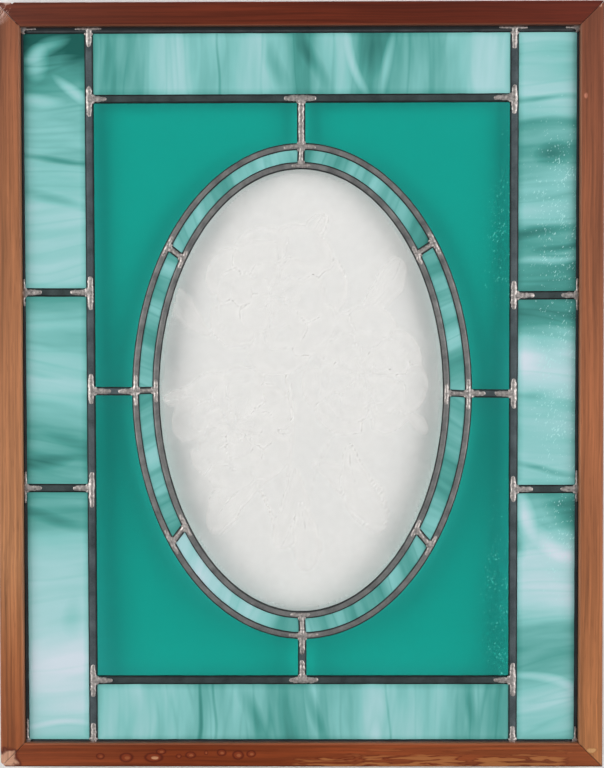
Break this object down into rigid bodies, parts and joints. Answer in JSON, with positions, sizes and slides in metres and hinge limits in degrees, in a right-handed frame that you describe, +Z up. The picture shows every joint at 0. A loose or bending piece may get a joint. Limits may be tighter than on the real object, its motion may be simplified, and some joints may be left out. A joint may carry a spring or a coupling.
{
  "type": "stained glass window",
  "caption": "Framed leaded-glass panel: mitred hardwood frame, lead came with soldered joints, and panes of streaky, green and clear glass around an oval.",
  "frame": {"origin": "middle of the top rail's back face, where the panel is fixed up", "axes": "+X to the right seen from the front, +Y out of the back face, +Z up; the front faces -Y"},
  "size_m": [0.506, 0.019, 0.64],
  "materials": {
    "stile_wood": "stained hardwood, worn satin varnish",
    "rail_wood": "darker reddish stained hardwood, worn and blistered varnish",
    "lead": "dull dark grey aged lead came",
    "solder": "bright, rough tin and lead solder",
    "opal_glass": "streaky opalescent glass, teal to pale blue-white",
    "green_glass": "clear deep green cathedral glass",
    "clear_glass": "clear glass with a faint frosted engraving"
  },
  "bodies": {
    "root": {"came_border_bottom": "lead", "came_border_left": "lead", "came_border_right": "lead", "came_border_top": "lead", "came_horizontal_bottom": "lead", "came_horizontal_top": "lead", "came_oval_inner": "lead", "came_oval_outer": "lead", "came_radial_bottom": "lead", "came_radial_left": "lead", "came_radial_lower_left": "lead", "came_radial_lower_right": "lead", "came_radial_right": "lead", "came_radial_top": "lead", "came_radial_upper_left": "lead", "came_radial_upper_right": "lead", "came_short_left_lower": "lead", "came_short_left_upper": "lead", "came_short_right_lower": "lead", "came_short_right_upper": "lead", "came_spoke_bottom": "lead", "came_spoke_left": "lead", "came_spoke_right": "lead", "came_spoke_top": "lead", "came_vertical_left": "lead", "came_vertical_right": "lead", "glass_corner_bottom_left": "green_glass", "glass_corner_bottom_right": "green_glass", "glass_corner_top_left": "green_glass", "glass_corner_top_right": "green_glass", "glass_left_lower": "opal_glass", "glass_left_middle": "opal_glass", "glass_left_upper": "opal_glass", "glass_oval": "clear_glass", "glass_right_lower": "opal_glass", "glass_right_middle": "opal_glass", "glass_right_upper": "opal_glass", "glass_ring_1": "opal_glass", "glass_ring_2": "opal_glass", "glass_ring_3": "opal_glass", "glass_ring_4": "opal_glass", "glass_ring_5": "opal_glass", "glass_ring_6": "opal_glass", "glass_ring_7": "opal_glass", "glass_ring_8": "opal_glass", "glass_strip_bottom": "opal_glass", "glass_strip_top": "opal_glass", "rail_bottom": "rail_wood", "rail_top": "rail_wood", "stile_left": "stile_wood", "stile_right": "stile_wood"}
  },
  "joints": []
}
